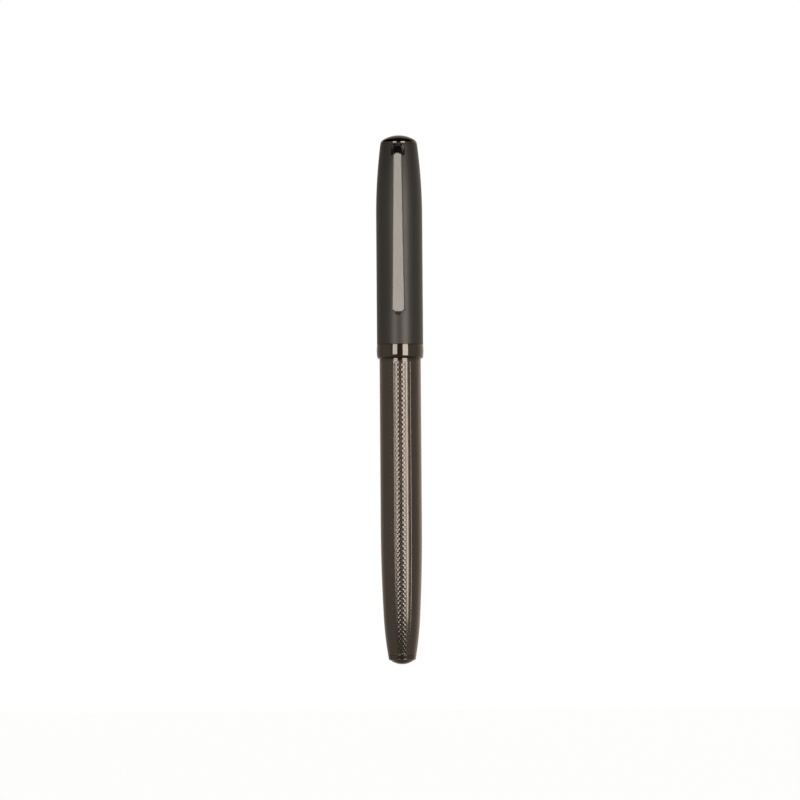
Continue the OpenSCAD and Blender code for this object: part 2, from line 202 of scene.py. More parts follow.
class NodeTree:
    """A node tree with a few short ways to add nodes to it."""

    def __init__(self, tree):
        self.nodes = tree.nodes
        self.links = tree.links

    def add(self, kind, **settings):
        """Adds a node with its settings."""
        node = self.nodes.new(kind)
        for name, value in settings.items():
            setattr(node, name, value)
        return node

    def join(self, source, node, socket):
        """Links an output to a node's input."""
        self.links.new(source, node.inputs[socket])

    def mapped(self, value, low, high, out_low, out_high, **settings):
        """Value rescaled from low..high to out_low..out_high."""
        node = self.add("ShaderNodeMapRange", **settings)
        self.join(value, node, "Value")
        limits = {"From Min": low, "From Max": high, "To Min": out_low, "To Max": out_high}
        for socket, number in limits.items():
            node.inputs[socket].default_value = number
        return node.outputs["Result"]

    def maths(self, operation, a, b):
        """Result of a math node on two sockets or numbers."""
        node = self.add("ShaderNodeMath", operation=operation)
        for index, value in enumerate((a, b)):
            if isinstance(value, (int, float)):
                node.inputs[index].default_value = value
            else:
                self.join(value, node, index)
        return node.outputs[0]

    def ramp(self, value, stops):
        """Colour that follows a value through stops of (position, colour)."""
        node = self.add("ShaderNodeValToRGB")
        elements = node.color_ramp.elements
        while len(elements) < len(stops):
            elements.new(0.5)
        for element, (position, color) in zip(elements, stops):
            element.position = position
            element.color = (*color, 1)
        self.join(value, node, "Fac")
        return node.outputs["Color"]


class Shader(NodeTree):
    """A material with a Principled shader, its finish varied by noise over the piece."""

    def __init__(self, name, color, metallic, roughness, **constants):
        self.material = bpy.data.materials.new(name)
        self.material.use_nodes = True
        super().__init__(self.material.node_tree)
        self.surface = self.nodes["Principled BSDF"]
        self.surface.inputs["Base Color"].default_value = (*color, 1)
        self.surface.inputs["Metallic"].default_value = metallic
        self.surface.inputs["Roughness"].default_value = roughness
        for socket, value in constants.items():
            self.surface.inputs[socket.replace("_", " ")].default_value = value
        self.place = self.add("ShaderNodeTexCoord").outputs["Object"]

    def stretched(self, scale):
        """Object coordinates in millimetres, stretched by a scale along each axis."""
        mapping = self.add("ShaderNodeMapping")
        mapping.inputs["Scale"].default_value = [s / mm for s in scale]
        self.join(self.place, mapping, "Vector")
        return mapping.outputs["Vector"]

    def noise(self, scale, detail=4.0, roughness=0.6, distortion=0.0):
        """Noise from 0 to 1 whose grain is 1 / scale millimetres along each axis."""
        node = self.add("ShaderNodeTexNoise")
        node.inputs["Scale"].default_value = 1.0
        node.inputs["Detail"].default_value = detail
        node.inputs["Roughness"].default_value = roughness
        node.inputs["Distortion"].default_value = distortion
        self.join(self.stretched(scale), node, "Vector")
        return node.outputs["Fac"]

    def vary_color(self, value, dark, light):
        """Base colour that runs from dark to light with a value."""
        self.join(self.ramp(value, [(0.0, dark), (1.0, light)]), self.surface, "Base Color")

    def vary_roughness(self, value, low, high):
        """Roughness that runs from low to high with a value."""
        self.join(self.mapped(value, 0.25, 0.75, low, high), self.surface, "Roughness")

    def split(self, vector):
        """The X, Y and Z outputs of a vector."""
        node = self.add("ShaderNodeSeparateXYZ")
        self.join(vector, node, "Vector")
        return node.outputs

    def polish_bend(self, z, arch, half, roughness, polished=0.14):
        """Polishes what lies above an arched line that peaks at z, and the edges that face sideways."""
        brushed = self.surface.inputs["Roughness"].links[0].from_socket
        here = self.split(self.place)
        across = self.maths("POWER", self.maths("MULTIPLY", here["X"], 1 / half), 2.0)
        above = self.maths("ADD", here["Z"], self.maths("MULTIPLY", across, arch))
        flat = self.mapped(above, z - 0.3 * mm, z + 0.2 * mm, 1.0, 0.0)
        normal = self.split(self.add("ShaderNodeTexCoord").outputs["Normal"])
        broad = self.mapped(self.maths("ABSOLUTE", normal["X"], 0.0), 0.25, 0.6, 1.0, 0.0)
        gloss = self.mapped(self.maths("MULTIPLY", flat, broad), 0.0, 1.0, polished / roughness, 1.0)
        self.join(self.maths("MULTIPLY", brushed, gloss), self.surface, "Roughness")

    def bump(self, value, height_mm, strength=1.0):
        """Fine relief of a height in millimetres."""
        node = self.add("ShaderNodeBump")
        node.inputs["Strength"].default_value = strength
        node.inputs["Distance"].default_value = height_mm * mm
        self.join(value, node, "Height")
        self.join(node.outputs["Normal"], self.surface, "Normal")


def tint(color, factor):
    """A colour made darker or lighter."""
    return tuple(min(1.0, c * factor) for c in color)


def polished_metal(name, color, roughness, scratch=0.5):
    """Plated, polished metal with fine handling marks, uneven polish and faint colour drift."""
    shader = Shader(name, color, 1.0, roughness)
    drift = shader.noise((0.16, 0.16, 0.07), detail=3)
    smear = shader.noise((0.9, 0.9, 0.5), detail=6, distortion=0.6)
    hairs = shader.noise((14, 14, 0.9), detail=5)
    shader.vary_color(drift, tint(color, 0.93), tint(color, 1.05))
    most, rest = shader.maths("MULTIPLY", smear, 0.7), shader.maths("MULTIPLY", hairs, 0.3)
    marks = shader.maths("ADD", most, rest)
    shader.vary_roughness(marks, roughness * 0.6, roughness * 1.7)
    shader.bump(hairs, 0.0012 * scratch)
    return shader.material


def satin_metal(name, color, roughness, grain, height_mm, spread=0.06, brushed=0.0, metallic=1.0):
    """Bead-blasted or brushed metal: its grain shows as fine relief and as a change of gloss.

    Brushed metal, which only the clip is, has a polished bend and polished edges.
    """
    shader = Shader(name, color, metallic, roughness, Anisotropic=brushed)
    fine = shader.noise(grain, detail=6, roughness=0.7)
    broad = shader.noise((0.25, 0.25, 0.12), detail=3)
    shader.vary_color(broad, tint(color, 0.94), tint(color, 1.05))
    shader.vary_roughness(fine, roughness - spread, roughness + spread)
    if brushed:
        around = shader.add("ShaderNodeTangent", direction_type="RADIAL", axis="Z")
        shader.join(around.outputs[0], shader.surface, "Tangent")
        shader.polish_bend(CLIP_BEND_Z, CLIP_ARCH, CLIP_TOP_HALF, roughness)
    shader.bump(fine, height_mm)
    return shader.material


def moulded_plastic(name, color, roughness, texture_mm=0.004):
    """Moulded plastic with a fine spark texture and slight colour drift."""
    shader = Shader(name, color, 0.0, roughness, IOR=1.5)
    grain = shader.noise((7, 7, 7), detail=5)
    drift = shader.noise((0.3, 0.3, 0.2), detail=2)
    shader.vary_color(drift, tint(color, 0.85), tint(color, 1.25))
    shader.vary_roughness(grain, roughness * 0.75, roughness * 1.3)
    shader.bump(grain, texture_mm)
    return shader.material


def ink_fibre(name, color, light):
    """Bundled fibres, darker where the ink has soaked in."""
    shader = Shader(name, color, 0.0, 0.75)
    strands = shader.noise((9, 9, 0.5), detail=6)
    soak = shader.noise((0.4, 0.4, 0.1), detail=3)
    shader.vary_color(shader.maths("MULTIPLY", strands, soak), color, light)
    shader.bump(strands, 0.03)
    return shader.material


# Each finish's maker and settings; its grain is per millimetre along X, Y and Z, so a large number is fine
FINISHES = {
    "engraved_gunmetal": (
        polished_metal,
        dict(color=(0.635, 0.53, 0.445), roughness=0.15, scratch=0.3),
    ),
    "polished_gunmetal": (
        polished_metal,
        dict(color=(0.545, 0.46, 0.39), roughness=0.06),
    ),
    "cap_satin": (
        satin_metal,
        dict(
            color=(0.435, 0.393, 0.35), roughness=0.42, grain=(16, 16, 12), height_mm=0.0022,
            metallic=0.75,
        ),
    ),
    "clip_satin": (
        satin_metal,
        dict(
            color=(1.0, 0.9, 0.815), roughness=0.34, grain=(22, 22, 1.2), height_mm=0.002,
            spread=0.03, brushed=1.0,
        ),
    ),
    "grip_resin": (
        moulded_plastic,
        dict(color=(0.014, 0.014, 0.015), roughness=0.2, texture_mm=0.0012),
    ),
    "inner_plastic": (
        moulded_plastic,
        dict(color=(0.03, 0.03, 0.032), roughness=0.45),
    ),
    "brass": (
        satin_metal,
        dict(color=(0.80, 0.58, 0.28), roughness=0.22, grain=(5, 5, 20), height_mm=0.0015),
    ),
    "steel": (
        satin_metal,
        dict(color=(0.62, 0.62, 0.63), roughness=0.2, grain=(5, 5, 20), height_mm=0.0015),
    ),
    "spring_steel": (
        satin_metal,
        dict(color=(0.55, 0.56, 0.58), roughness=0.24, grain=(9, 9, 9), height_mm=0.001),
    ),
    "washer_rubber": (
        moulded_plastic,
        dict(color=(0.02, 0.02, 0.02), roughness=0.6, texture_mm=0.006),
    ),
    "refill_body": (
        satin_metal,
        dict(color=(0.66, 0.66, 0.65), roughness=0.26, grain=(10, 10, 1.0), height_mm=0.0015),
    ),
    "refill_plastic": (
        moulded_plastic,
        dict(color=(0.04, 0.04, 0.042), roughness=0.35),
    ),
    "ink_fibre": (
        ink_fibre,
        dict(color=(0.012, 0.015, 0.05), light=(0.35, 0.36, 0.42)),
    ),
    "nickel_silver": (
        satin_metal,
        dict(color=(0.72, 0.69, 0.62), roughness=0.16, grain=(5, 5, 24), height_mm=0.001),
    ),
    "ball_carbide": (
        polished_metal,
        dict(color=(0.38, 0.38, 0.39), roughness=0.1),
    ),
}
MATERIALS = {name: make(name, **settings) for name, (make, settings) in FINISHES.items()}

SLOT_OF = {row["node"]: row["material_slot"] for row in frame["record"]["subparts"]}
for node, piece in NODES.items():
    piece.data.materials.clear()
    piece.data.materials.append(MATERIALS[SLOT_OF[node]])

# ---------------------------------------------------------------- engraved barrel

# Bands of lozenges run along the barrel; the first one's middle is 2 degrees to the right of the clip's
BANDS = 8
FIRST_BAND_DEG = -90 + 2
# Columns of whole lozenges in a band and their distance; half lozenges close it off at each side
COLUMNS = 4
COLUMN_DEG = 5.86
# Height of a lozenge, and depth of the grooves around it
GRAIN_H = 1.242 * mm
GRAIN_DEPTH = 0.04 * mm
# Where the mesh divides a lozenge's sides, from corner to corner
GRAIN_GRID = (0.0, 0.12, 0.34, 0.66, 0.88, 1.0)
# Plain rims above and below the engraving
PLAIN_TOP = 0.35 * mm
PLAIN_TAIL = 0.25 * mm
# The plain strips lie a little lower than the bands, behind a narrow sloped edge
STRIP_SINK = 0.023 * mm
STRIP_EDGE_DEG = 1.5


def grain_height(a, b, edge_column):
    """Depth of the engraving inside one lozenge, whose corners are at a and b of 0 and 1."""
    u, v = 2 * a - 1, 2 * b - 1
    sink = 1 - (1 - u * u) * (1 - v * v)
    fade = min(1.0, abs(a - b) / 0.5) if edge_column else 1.0
    return -GRAIN_DEPTH * sink * fade


def engraved_outside():
    """Vertices and faces of the barrel's outside: lozenge bands between plain polished strips."""
    low, high = TUBE_LOW.z, TUBE_HIGH.z
    first, last = low + PLAIN_TAIL, high - PLAIN_TOP
    rows = int((last - first) / GRAIN_H) + 2
    lookup, vertices, faces = {}, [], []

    def vertex(angle, z, height):
        z = min(max(z, first), last)
        if z in (first, last):
            height = 0.0
        key = (round(angle * 1e4) % 3600000, round(z * 1e8))
        if key not in lookup:
            lookup[key] = len(vertices)
            r = barrel_radius(z) + height
            a = math.radians(angle)
            vertices.append((r * math.cos(a), r * math.sin(a), z))
        return lookup[key]

    def face(*corners):
        corners = list(dict.fromkeys(corners))
        if len(corners) > 2:
            faces.append(corners)

    border_deg = (COLUMNS + 1) / 2 * COLUMN_DEG
    half_grid = [GRAIN_H * (g - 0.5) for g in GRAIN_GRID]
    pitch_deg = 360 / BANDS
    sunk_deg = border_deg + STRIP_EDGE_DEG
    plain_deg = [border_deg] + span(sunk_deg, pitch_deg - sunk_deg, 8) + [pitch_deg - border_deg]
    strips = len(plain_deg) - 1
    # A band's last column may stand half a lozenge above the next band's first one: the strip slants
    right_shift = 0.5 * ((COLUMNS + 1) % 2) * GRAIN_H
    for band in range(BANDS):
        centre = FIRST_BAND_DEG + band * pitch_deg
        for column in range(COLUMNS + 2):
            offset = (column - (COLUMNS + 1) / 2) * COLUMN_DEG
            left_edge, right_edge = column == 0, column == COLUMNS + 1
            for row in range(-1, rows + 1):
                middle_z = first + GRAIN_H * (row + 0.5 * (column % 2))
                grid = {}
                for i, a in enumerate(GRAIN_GRID):
                    for j, b in enumerate(GRAIN_GRID):
                        if (left_edge and a < b) or (right_edge and a > b):
                            continue
                        across = (a - b) * COLUMN_DEG
                        up = GRAIN_H / 2 * (a + b - 1)
                        on_border = (left_edge or right_edge) and i == j
                        height = 0.0 if on_border else grain_height(a, b, left_edge or right_edge)
                        grid[i, j] = vertex(centre + offset + across, middle_z + up, height)
                for i in range(len(GRAIN_GRID) - 1):
                    for j in range(len(GRAIN_GRID) - 1):
                        corners = [(i, j), (i + 1, j), (i + 1, j + 1), (i, j + 1)]
                        face(*[grid[c] for c in corners if c in grid])
        for row in range(-1, rows + 1):
            middle_z = first + GRAIN_H * row
            for k in range(len(half_grid) - 1):
                lower_first = [middle_z + half_grid[k], middle_z + half_grid[k + 1]]
                for s in range(strips):
                    corners = []
                    for strip, pair in ((s, lower_first), (s + 1, lower_first[::-1])):
                        dip = 0.0 if strip in (0, strips) else -STRIP_SINK
                        share = 1.0 - strip / strips
                        angle = centre + plain_deg[strip]
                        corners += [vertex(angle, z + right_shift * share, dip) for z in pair]
                    face(*corners)
    return vertices, faces, first, last, lookup


def engraved_barrel():
    """The barrel tube with its engraved outside, plain ends and inner wall."""
    vertices, faces, first, last, lookup = engraved_outside()
    segments = 360
    inner, inner_end = 4.6 * mm, 22 * mm
    tail_inner, tail_inner_end = 2.95 * mm, 8 * mm
    low, high = TUBE_LOW.z, TUBE_HIGH.z
    seam = 0.06 * mm

    def rim(z):
        """The engraved outside's vertices at one of its ends."""
        key_z = round(z * 1e8)
        found = sorted((angle, index) for (angle, kz), index in lookup.items() if kz == key_z)
        return [index for _, index in found]

    def ring(r, z):
        """A new round of vertices."""
        start = len(vertices)
        for i in range(segments):
            a = 2 * math.pi * i / segments
            vertices.append((r * math.cos(a), r * math.sin(a), z))
        return list(range(start, start + segments))

    def stitch(lower, upper):
        """Faces between two closed rows of vertices with different counts."""
        def turn(index):
            x, y, _ = vertices[index]
            return math.atan2(y, x) % (2 * math.pi)

        lower, upper = (sorted(row, key=turn) for row in (lower, upper))
        # Beyond a whole turn, for a row that has come to its end
        past = 7.0
        i = j = 0
        while i < len(lower) or j < len(upper):
            at_low = turn(lower[i + 1]) if i + 1 < len(lower) else past + i - len(lower)
            at_up = turn(upper[j + 1]) if j + 1 < len(upper) else past + j - len(upper)
            a, b = lower[i % len(lower)], upper[j % len(upper)]
            if (at_low <= at_up and i < len(lower)) or j >= len(upper):
                i += 1
                faces.append([a, lower[i % len(lower)], b])
            else:
                j += 1
                faces.append([a, upper[j % len(upper)], b])

    chain = [
        rim(last),
        ring(barrel_radius(high - seam), high - seam),
        ring(BARREL_R - seam, high),
        ring(inner, high),
        ring(inner, low + inner_end),
        ring(tail_inner, low + tail_inner_end),
        ring(tail_inner, low),
        ring(barrel_radius(low) - seam, low),
        ring(barrel_radius(low + seam), low + seam),
        rim(first),
    ]
    for lower, upper in zip(chain, chain[1:]):
        stitch(lower, upper)
    return new_object("barrel_engraved", vertices, faces, MATERIALS["engraved_gunmetal"], 6)


finish_piece(engraved_barrel(), "barrel", "engraved_gunmetal", "barrel_tube")

# ---------------------------------------------------------------- polished lathe-turned parts

SEAM = 0.05 * mm


def bush_outline():
    """Bush in the barrel's mouth, whose flange shows as a polished ring."""
    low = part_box("barrel_bush")[0].z
    flange = TUBE_HIGH.z
    bore, body = 4.0 * mm, 4.6 * mm
    edge = 0.08 * mm
    return [
        (bore, low), (body, low), (body, flange), (BARREL_R - SEAM, flange), (BARREL_R, flange + SEAM),
        (BARREL_R, -edge), (BARREL_R - edge, 0), (bore + 0.3 * mm, 0), (bore, -0.3 * mm),
    ]


def tail_outline():
    """Plug with the domed tail."""
    base, plug_top = TAIL_Z, TUBE_LOW.z
    dome, dome_end = 5 * mm, 2.9 * mm
    rim_low, rim_high = base + 1.26 * mm, base + 1.42 * mm
    rim = barrel_radius(rim_high)
    end_z = base + dome_drop(dome, dome_end)
    spigot = 2.95 * mm
    points = [(r, base + dome_drop(dome, r)) for r in span(0, dome_end, 40)]
    points += bend((dome_end, end_z), (rim - 0.06 * mm, rim_low - 0.06 * mm), (rim, rim_low), 16)[1:]
    points += [(barrel_radius(z), z) for z in span(rim_high, plug_top - SEAM, 6)]
    spigot_end = base + 6.2 * mm
    points += [(barrel_radius(plug_top) - SEAM, plug_top), (spigot, plug_top)]
    points += [(spigot, spigot_end), (0, spigot_end)]
    return points


def crown_outline():
    """Cap's domed crown, with the boss that the crown screw holds it by."""
    dome, dome_end = 7.9 * mm, 3.9 * mm
    base = SHELL_TOP
    end_z = CROWN_Z - dome_drop(dome, dome_end)
    wall_h = 0.36 * mm
    wall = cap_radius(base + 0.2 * mm)
    points = [(r, CROWN_Z - dome_drop(dome, r)) for r in span(0, dome_end, 48)]
    shoulder = (wall - 0.34 * mm, end_z - 0.27 * mm)
    points += bend((dome_end, end_z), shoulder, (wall, base + wall_h), 20)[1:]
    inner, skirt = 4.15 * mm, base - 0.18 * mm
    boss, hole, boss_z = 1.5 * mm, 0.8 * mm, base - 0.4 * mm
    hole_top = CROWN_Z - 0.9 * mm
    points += [(wall, base + SEAM), (wall - SEAM, base), (inner, base), (inner - 0.3 * mm, skirt)]
    points += [(boss, skirt), (boss, boss_z), (hole, boss_z), (hole, hole_top), (0, hole_top)]
    return points


def band_outline():
    """Ring round the cap's mouth, with a rounded lip and a slight swell."""
    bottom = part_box("cap_band")[0].z
    lip, swell = 0.64 * mm, 0.09 * mm
    mouth, foot, foot_z = 5.05 * mm, 5.62 * mm, 0.9 * mm
    points = [(mouth, bottom + 0.1 * mm), (mouth + 0.1 * mm, bottom)]
    points += bend((CAP_R - 0.6 * mm, bottom), (CAP_R - 0.06 * mm, 0.06 * mm), (CAP_R, lip), 20)
    side_h = BAND_TOP - SEAM - lip
    points += [(CAP_R + swell * 4 * t * (1 - t), lip + side_h * t) for t in span(0, 1, 32)[1:]]
    points += [(CAP_R - SEAM, BAND_TOP), (foot, BAND_TOP), (foot, foot_z), (mouth, foot_z)]
    return points


def shell_outline():
    """Cap's tube, which narrows at the shoulder."""
    foot, foot_z, bore = 5.62 * mm, 0.9 * mm, 5.38 * mm
    shoulder_z = CROWN_Z - SHOULDER_DROP
    block, liner_top, neck = 4.15 * mm, CROWN_Z - 8.9 * mm, 4.9 * mm
    points = [(bore, foot_z), (foot, foot_z), (foot, BAND_TOP)]
    points += [(CAP_R - SEAM, BAND_TOP), (CAP_R, BAND_TOP + SEAM)]
    points += [(CAP_R, z) for z in span(BAND_TOP + SEAM, shoulder_z, 6)[1:-1]]
    points += [(cap_radius(z), z) for z in span(shoulder_z, SHELL_TOP - SEAM, 48)]
    points += [(cap_radius(SHELL_TOP) - SEAM, SHELL_TOP), (block, SHELL_TOP), (block, liner_top)]
    points += [(neck, liner_top), (neck, liner_top - 2.6 * mm), (bore, CROWN_Z - 20.5 * mm)]
    return points


def grip_outline():
    """Grip with the groove for the snap ring and its fine rings."""
    core = 3.75 * mm
    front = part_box("nose_cone")[1].x
    back = GRIP_R
    groove_low, groove_high, groove_r = RING_LOW - 0.05 * mm, RING_HIGH + 0.05 * mm, 4.45 * mm
    taper_z = 12 * mm
    mid = ((back + front) / 2 - 0.1 * mm, (GRIP_LOW + GRIP_HIGH) / 2 + 4 * mm)
    edge = 0.08 * mm
    points = [(core, GRIP_LOW), (back - edge, GRIP_LOW), (back, GRIP_LOW + edge)]
    points += [(back, groove_low - edge), (back - edge, groove_low), (groove_r, groove_low)]
    points += [(groove_r, groove_high), (back - edge, groove_high), (back, groove_high + edge)]
    side = bend((back, taper_z), mid, (front, GRIP_HIGH), 120)
    # Fine grip rings near the front, cut as shallow grooves
    ring_count, ring_pitch, ring_depth = 7, 1.5 * mm, 0.16 * mm
    first_ring = GRIP_HIGH - 2.6 * mm - (ring_count - 1) * ring_pitch
    for r, z in side:
        depth = 0.0
        for n in range(ring_count):
            away = abs(z - (first_ring + n * ring_pitch)) / (0.26 * mm)
            depth = max(depth, ring_depth * max(0.0, 1 - away * away))
        points.append((r - depth, z))
    points.append((core, GRIP_HIGH))
    return points


def nose_outline():
    """Metal nose in front of the grip."""
    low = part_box("nose_cone")[0].z
    base_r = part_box("nose_cone")[1].x
    base, tip = GRIP_HIGH, NOSE_TIP
    spigot, bore, tip_r, point = 3.75 * mm, 3.2 * mm, 1.75 * mm, 1.26 * mm
    length = tip - base
    hole_z = base + 4.55 * mm
    seam = 0.12 * mm
    points = [(bore, low), (spigot, low), (spigot, base), (base_r - seam, base), (base_r, base + seam)]
    shoulder = (base_r - 0.75 * mm, base + length * 0.6)
    rim = 0.2 * mm
    points += bend((base_r, base + seam), shoulder, (tip_r, tip - rim), 24)[1:]
    points += bend((tip_r, tip - rim), (tip_r, tip), (tip_r - rim, tip), 6)[1:]
    points += [(point, tip), (point, hole_z), (2.05 * mm, hole_z), (2.05 * mm, base), (bore, base)]
    return points


def collar_outline():
    """Collar behind the grip, with a thin waist line."""
    low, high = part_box("section_collar")
    r, core = high.x, 3.75 * mm
    edge = 0.15 * mm
    waist = 0.1 * mm
    middle = (low.z + high.z) / 2
    return [
        (core, low.z), (r - edge, low.z), (r, low.z + edge), (r, middle - waist), (r - waist, middle),
        (r, middle + waist), (r, high.z - edge), (r - edge, high.z), (core, high.z),
    ]


def washer_outline():
    """Rubber washer with a rounded rim."""
    low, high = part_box("section_washer")
    inner, outer = 3.77 * mm, high.x
    half = (high.z - low.z) / 2
    middle = (low.z + high.z) / 2
    points = arc((outer - half, middle), half, -90, 90, 12)
    return [(inner, low.z)] + points + [(inner, high.z)]


def snap_ring_outline():
    """Snap ring with a crowned outside."""
    low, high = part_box("snap_ring")
    outer, inner = 5.02 * mm, 4.5 * mm
    middle, half = (low.z + high.z) / 2, (high.z - low.z) / 2
    crown = [(outer - 0.18 * mm * (t * t) ** 1.2, middle + half * t) for t in span(-1, 1, 16)]
    return [(inner, low.z)] + crown + [(inner, high.z)]


def lathe_piece(name, outline, body, slot, *nodes, **options):
    """A lathe-turned piece in its finish, on its body, in place of CAD nodes."""
    return finish_piece(lathe(name, outline, MATERIALS[slot], **options), body, slot, *nodes)


lathe_piece("bush_flange", bush_outline(), "barrel", "polished_gunmetal", "barrel_bush", segments=256)
lathe_piece("tail_dome", tail_outline(), "barrel", "polished_gunmetal", "tail_plug", segments=256)
lathe_piece("crown_dome", crown_outline(), "cap", "polished_gunmetal", "cap_crown", segments=256)
lathe_piece("mouth_band", band_outline(), "cap", "polished_gunmetal", "cap_band", segments=320)
lathe_piece("grip_sleeve", grip_outline(), "section", "grip_resin", "section_grip")
lathe_piece("nose_metal", nose_outline(), "section", "polished_gunmetal", "nose_cone")
lathe_piece("grip_collar", collar_outline(), "section", "polished_gunmetal", "section_collar")
lathe_piece("seal_washer", washer_outline(), "washer", "washer_rubber", "section_washer", segments=128)
lathe_piece(
    "split_ring", snap_ring_outline(), "clutch", "spring_steel", "snap_ring",
    segments=180, turns=346 / 360, start_deg=97,
)

# ---------------------------------------------------------------- cap shell with the clip's slot

def cut_slot(shell):
    """Cuts the clip's slot through the shell's wall, with rounded lower corners."""
    width, height, corner = 3.56 * mm, 3.1 * mm, 0.35 * mm
    top = CROWN_Z - 2.6 * mm
    low = top - height
    outline = arc((width / 2 - corner, low + corner), corner, 0, -90, 8)
    outline += arc((-width / 2 + corner, low + corner), corner, -90, -180, 8)
    outline += [(-width / 2, top), (width / 2, top)]
    count = len(outline)
    vertices = [(x, y, z) for y in (-CAP_R - mm, -2 * mm) for x, z in outline]
    faces = [list(range(count)), list(range(2 * count - 1, count - 1, -1))]
    faces += [[i, (i + 1) % count, count + (i + 1) % count, count + i] for i in range(count)]
    cutter = new_object("slot_cutter", vertices, faces, MATERIALS["cap_satin"])
    modifier = shell.modifiers.new("slot", "BOOLEAN")
    modifier.object = cutter
    modifier.operation = "DIFFERENCE"
    modifier.solver = "EXACT"
    depsgraph = bpy.context.evaluated_depsgraph_get()
    cut = bpy.data.meshes.new_from_object(shell.evaluated_get(depsgraph))
    shell.modifiers.clear()
    shell.data = cut
    shade(cut, 24)
    bpy.data.objects.remove(cutter)


shell = lathe("cap_satin_shell", shell_outline(), MATERIALS["cap_satin"], segments=256)
cut_slot(shell)
finish_piece(shell, "cap", "cap_satin", "cap_shell")

# ---------------------------------------------------------------- clip

CLIP_LOW, CLIP_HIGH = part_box("clip")
CLIP_T = 1 * mm
CLIP_TOP_FACE = 7.25 * mm
CLIP_TOE_FACE = -CLIP_LOW.y
CLIP_END = 12.2 * mm
CLIP_TOE_HALF = 1.75 * mm
CLIP_CORNER = 0.5 * mm
CLIP_TOE_REACH, CLIP_TOE_NARROWING = 1.1 * mm, 0.45 * mm
CLIP_BEVEL = 0.28 * mm
PIVOT_Y, PIVOT_Z = -3.2 * mm, CROWN_Z - 4.45 * mm


def clip_half_width(z):
    """Half the clip's width at a height: it widens downwards and rounds off at the toe."""
    if z >= CLIP_END + CLIP_CORNER:
        straight_top = CLIP_HIGH.z - CLIP_BEND
        share = min(1.0, max(0.0, (straight_top - z) / (straight_top - CLIP_END)))
        return CLIP_TOP_HALF + (CLIP_TOE_HALF - CLIP_TOP_HALF) * share
    if z >= CLIP_END:
        drop = (CLIP_END + CLIP_CORNER - z) / CLIP_CORNER
        return CLIP_TOE_HALF - CLIP_CORNER * (1 - math.sqrt(max(0.0, 1 - drop * drop)))
    share = min(1.0, (CLIP_END - z) / CLIP_TOE_REACH)
    return CLIP_TOE_HALF - CLIP_CORNER - CLIP_TOE_NARROWING * share


def clip_side():
    """Side view of the clip as (y, z) points, all the way round."""
    toe_r = (CLIP_TOE_FACE - CAP_R - 0.05 * mm) / 2
    centre = (CLIP_BEND - CLIP_TOP_FACE, CLIP_HIGH.z - CLIP_BEND)
    toe = (toe_r - CLIP_TOE_FACE, CLIP_END - 0.05 * mm)
    heel_low = PIVOT_Z + 0.05 * mm
    heel_top = heel_low + 0.7 * mm

    def line(start, end, shares):
        return [tuple(a + (b - a) * t for a, b in zip(start, end)) for t in shares]

    # The arm's face has more points near the toe, where its corners round off
    face_shares = span(0, 0.97, 36)[:-1] + span(0.97, 1, 16)
    arm_outer = line((centre[0] - CLIP_BEND, centre[1]), (toe[0] - toe_r, toe[1]), face_shares)
    inner_start = (CLIP_T - CLIP_TOE_FACE, CLIP_END + 2.4 * mm)
    inner_end = (centre[0] - CLIP_BEND + CLIP_T, centre[1])
    arm_inner = line(inner_start, inner_end, span(0, 1, 40))
    points = [(-1.7 * mm, heel_top), (PIVOT_Y + mm, heel_top), (PIVOT_Y, CLIP_HIGH.z)]
    points += arc(centre, CLIP_BEND, 90, 180, 28)
    points += arm_outer[1:-1]
    points += arc(toe, toe_r, 180, 440, 44)
    points += arm_inner
    points += arc(centre, CLIP_BEND - CLIP_T, 180, 90, 24)[1:]
    points += [(PIVOT_Y, PIVOT_Z), (PIVOT_Y + mm, heel_low), (-1.7 * mm, heel_low)]
    return points


def inset(points, distance):
    """The closed outline moved inwards; it runs anticlockwise or clockwise."""
    area = sum(a[0] * b[1] - b[0] * a[1] for a, b in zip(points, points[1:] + points[:1]))
    side = 1 if area > 0 else -1
    moved = []
    for before, here, after in zip(points[-1:] + points[:-1], points, points[1:] + points[:1]):
        along = (Vector(after) - Vector(before)).normalized()
        moved.append((here[0] - side * along.y * distance, here[1] + side * along.x * distance))
    return moved


def clip_mesh():
    """The clip: its side view carried across its width, with flat bevels and an arched bend."""
    side = clip_side()
    beveled = inset(side, CLIP_BEVEL)
    count = len(side)
    layers = [(-1, beveled, 0)] + [(u, side, CLIP_BEVEL) for u in span(-1, 1, 16)] + [(1, beveled, 0)]
    vertices, faces = [], []
    for u, outline, margin in layers:
        drop = CLIP_ARCH * (1 - math.sqrt(1 - u * u))
        for (y, z), (_, z_side) in zip(outline, side):
            if z > CLIP_BEND_Z:
                share = 1 - (z - CLIP_BEND_Z) / CLIP_BEND
            elif y < PIVOT_Y - 1.5 * mm:
                share = max(0.0, 1 - (CLIP_BEND_Z - z) / CLIP_ARCH_REACH)
            else:
                share = 0.0
            vertices.append((u * (clip_half_width(z_side) - margin), y, z - drop * share))
    for layer in range(len(layers) - 1):
        for i in range(count):
            k = (i + 1) % count
            here, above = layer * count, (layer + 1) * count
            faces.append([here + i, here + k, above + k, above + i])
    faces.append(list(range(count))[::-1])
    faces.append([(len(layers) - 1) * count + i for i in range(count)])
    return vertices, faces


vertices, faces = clip_mesh()
clip_arm = new_object("clip_arm", vertices, faces, MATERIALS["clip_satin"], 35)
work = bmesh.new()
work.from_mesh(clip_arm.data)
bmesh.ops.triangulate(work, faces=[f for f in work.faces if len(f.verts) > 4])
work.to_mesh(clip_arm.data)
work.free()
shade(clip_arm.data, 35)
finish_piece(clip_arm, "clip", "clip_satin", "clip")

